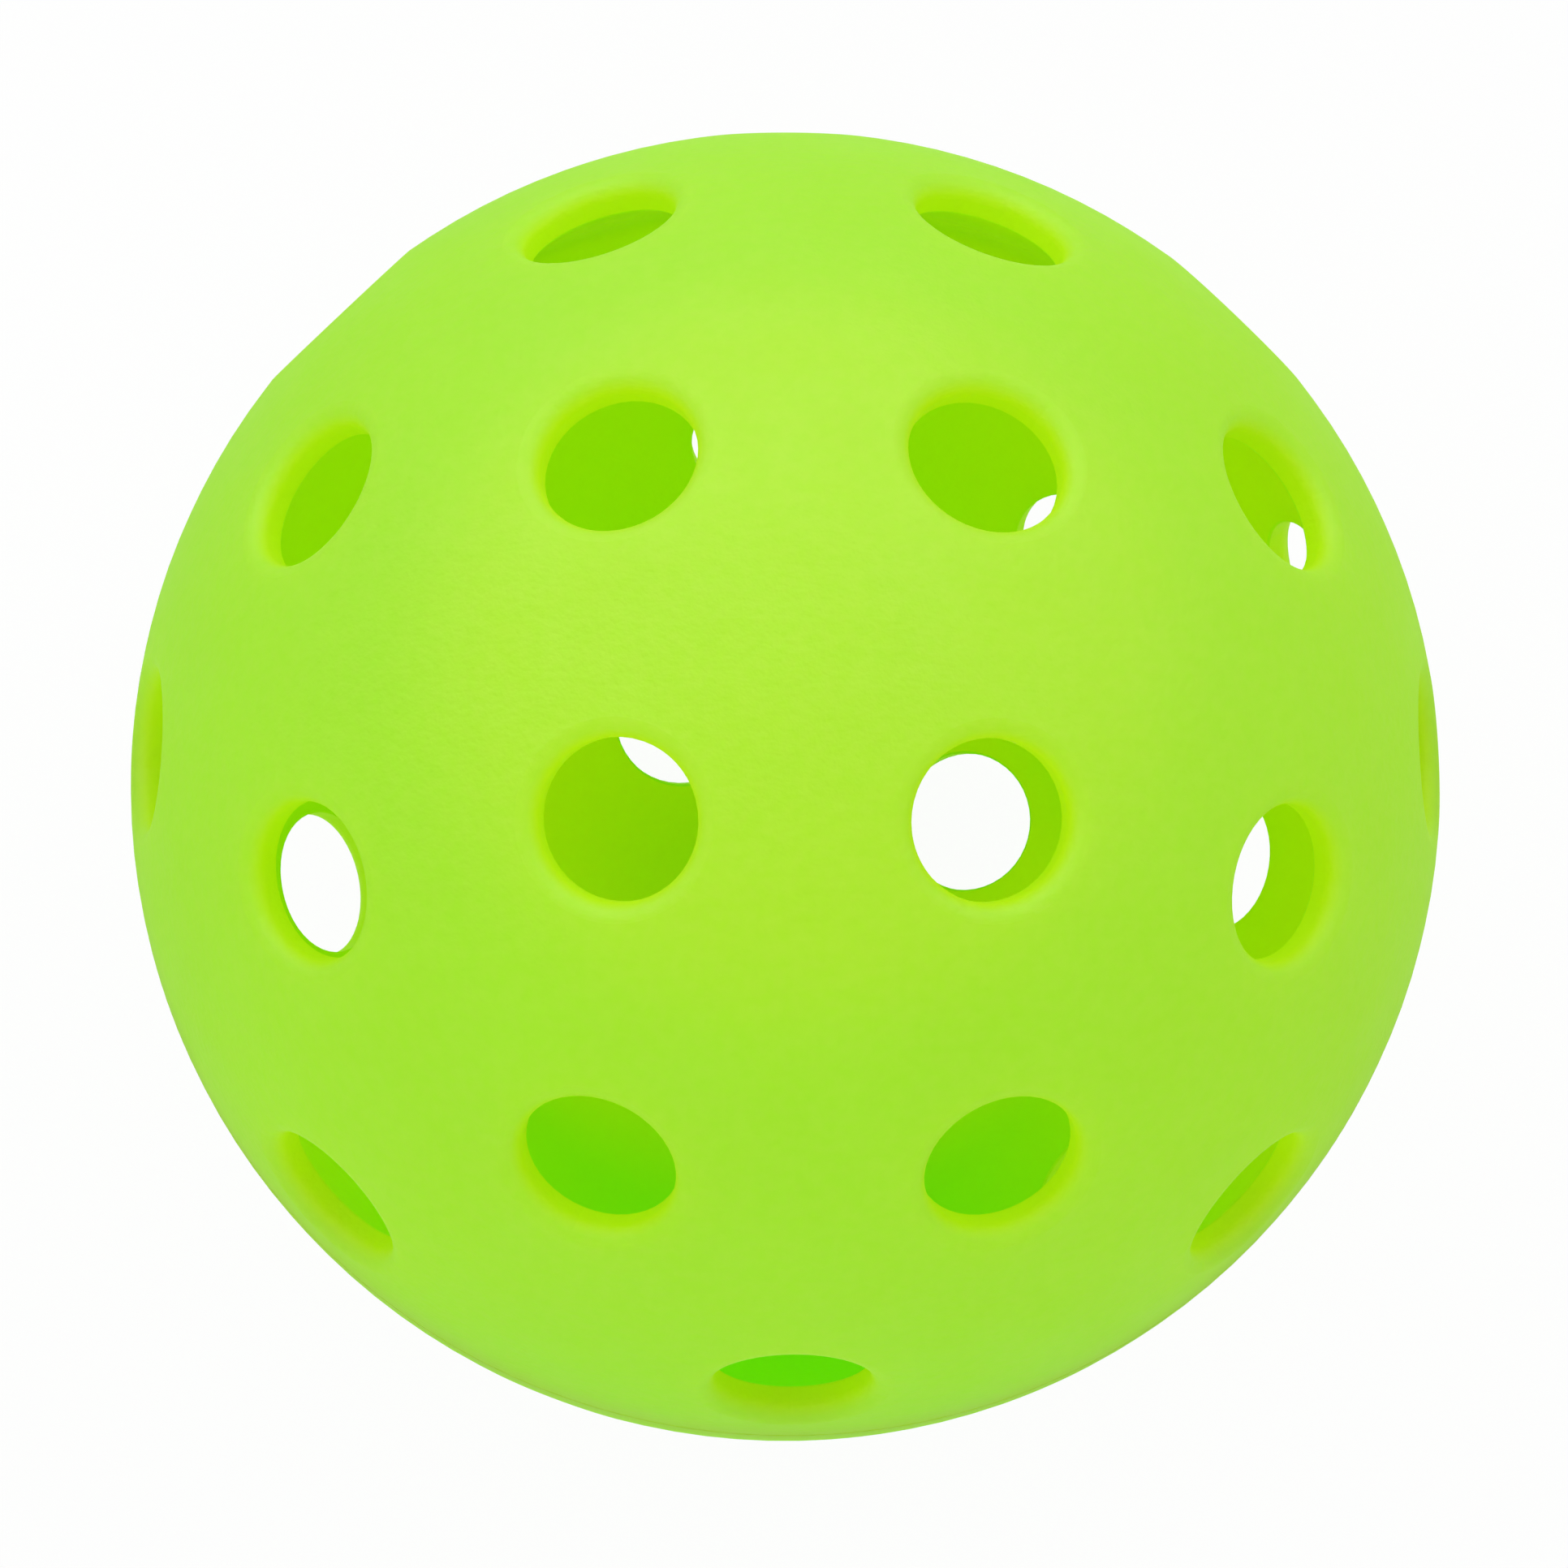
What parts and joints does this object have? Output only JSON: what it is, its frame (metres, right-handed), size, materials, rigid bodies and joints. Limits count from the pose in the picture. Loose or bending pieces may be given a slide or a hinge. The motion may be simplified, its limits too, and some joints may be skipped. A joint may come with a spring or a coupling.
{
  "type": "pickleball",
  "caption": "Hollow perforated plastic ball for paddle games: lime half shells with rounded air holes, joined by a tongue and groove and welded at the equator.",
  "frame": {"origin": "centre of the ball", "axes": "+Z through the pole of the upper shell, at right angles to the seam; +X through the middle of a hole of the upper shell's seam ring; the seam lies in the XY plane"},
  "size_m": [0.074, 0.074, 0.074],
  "materials": {
    "shell_plastic": "satin moulded lime polyethylene, slightly translucent",
    "weld_plastic": "smooth remelted lime polyethylene"
  },
  "bodies": {
    "root": {"upper_shell": "shell_plastic", "lower_shell": "shell_plastic", "weld_bead": "weld_plastic"}
  },
  "joints": []
}
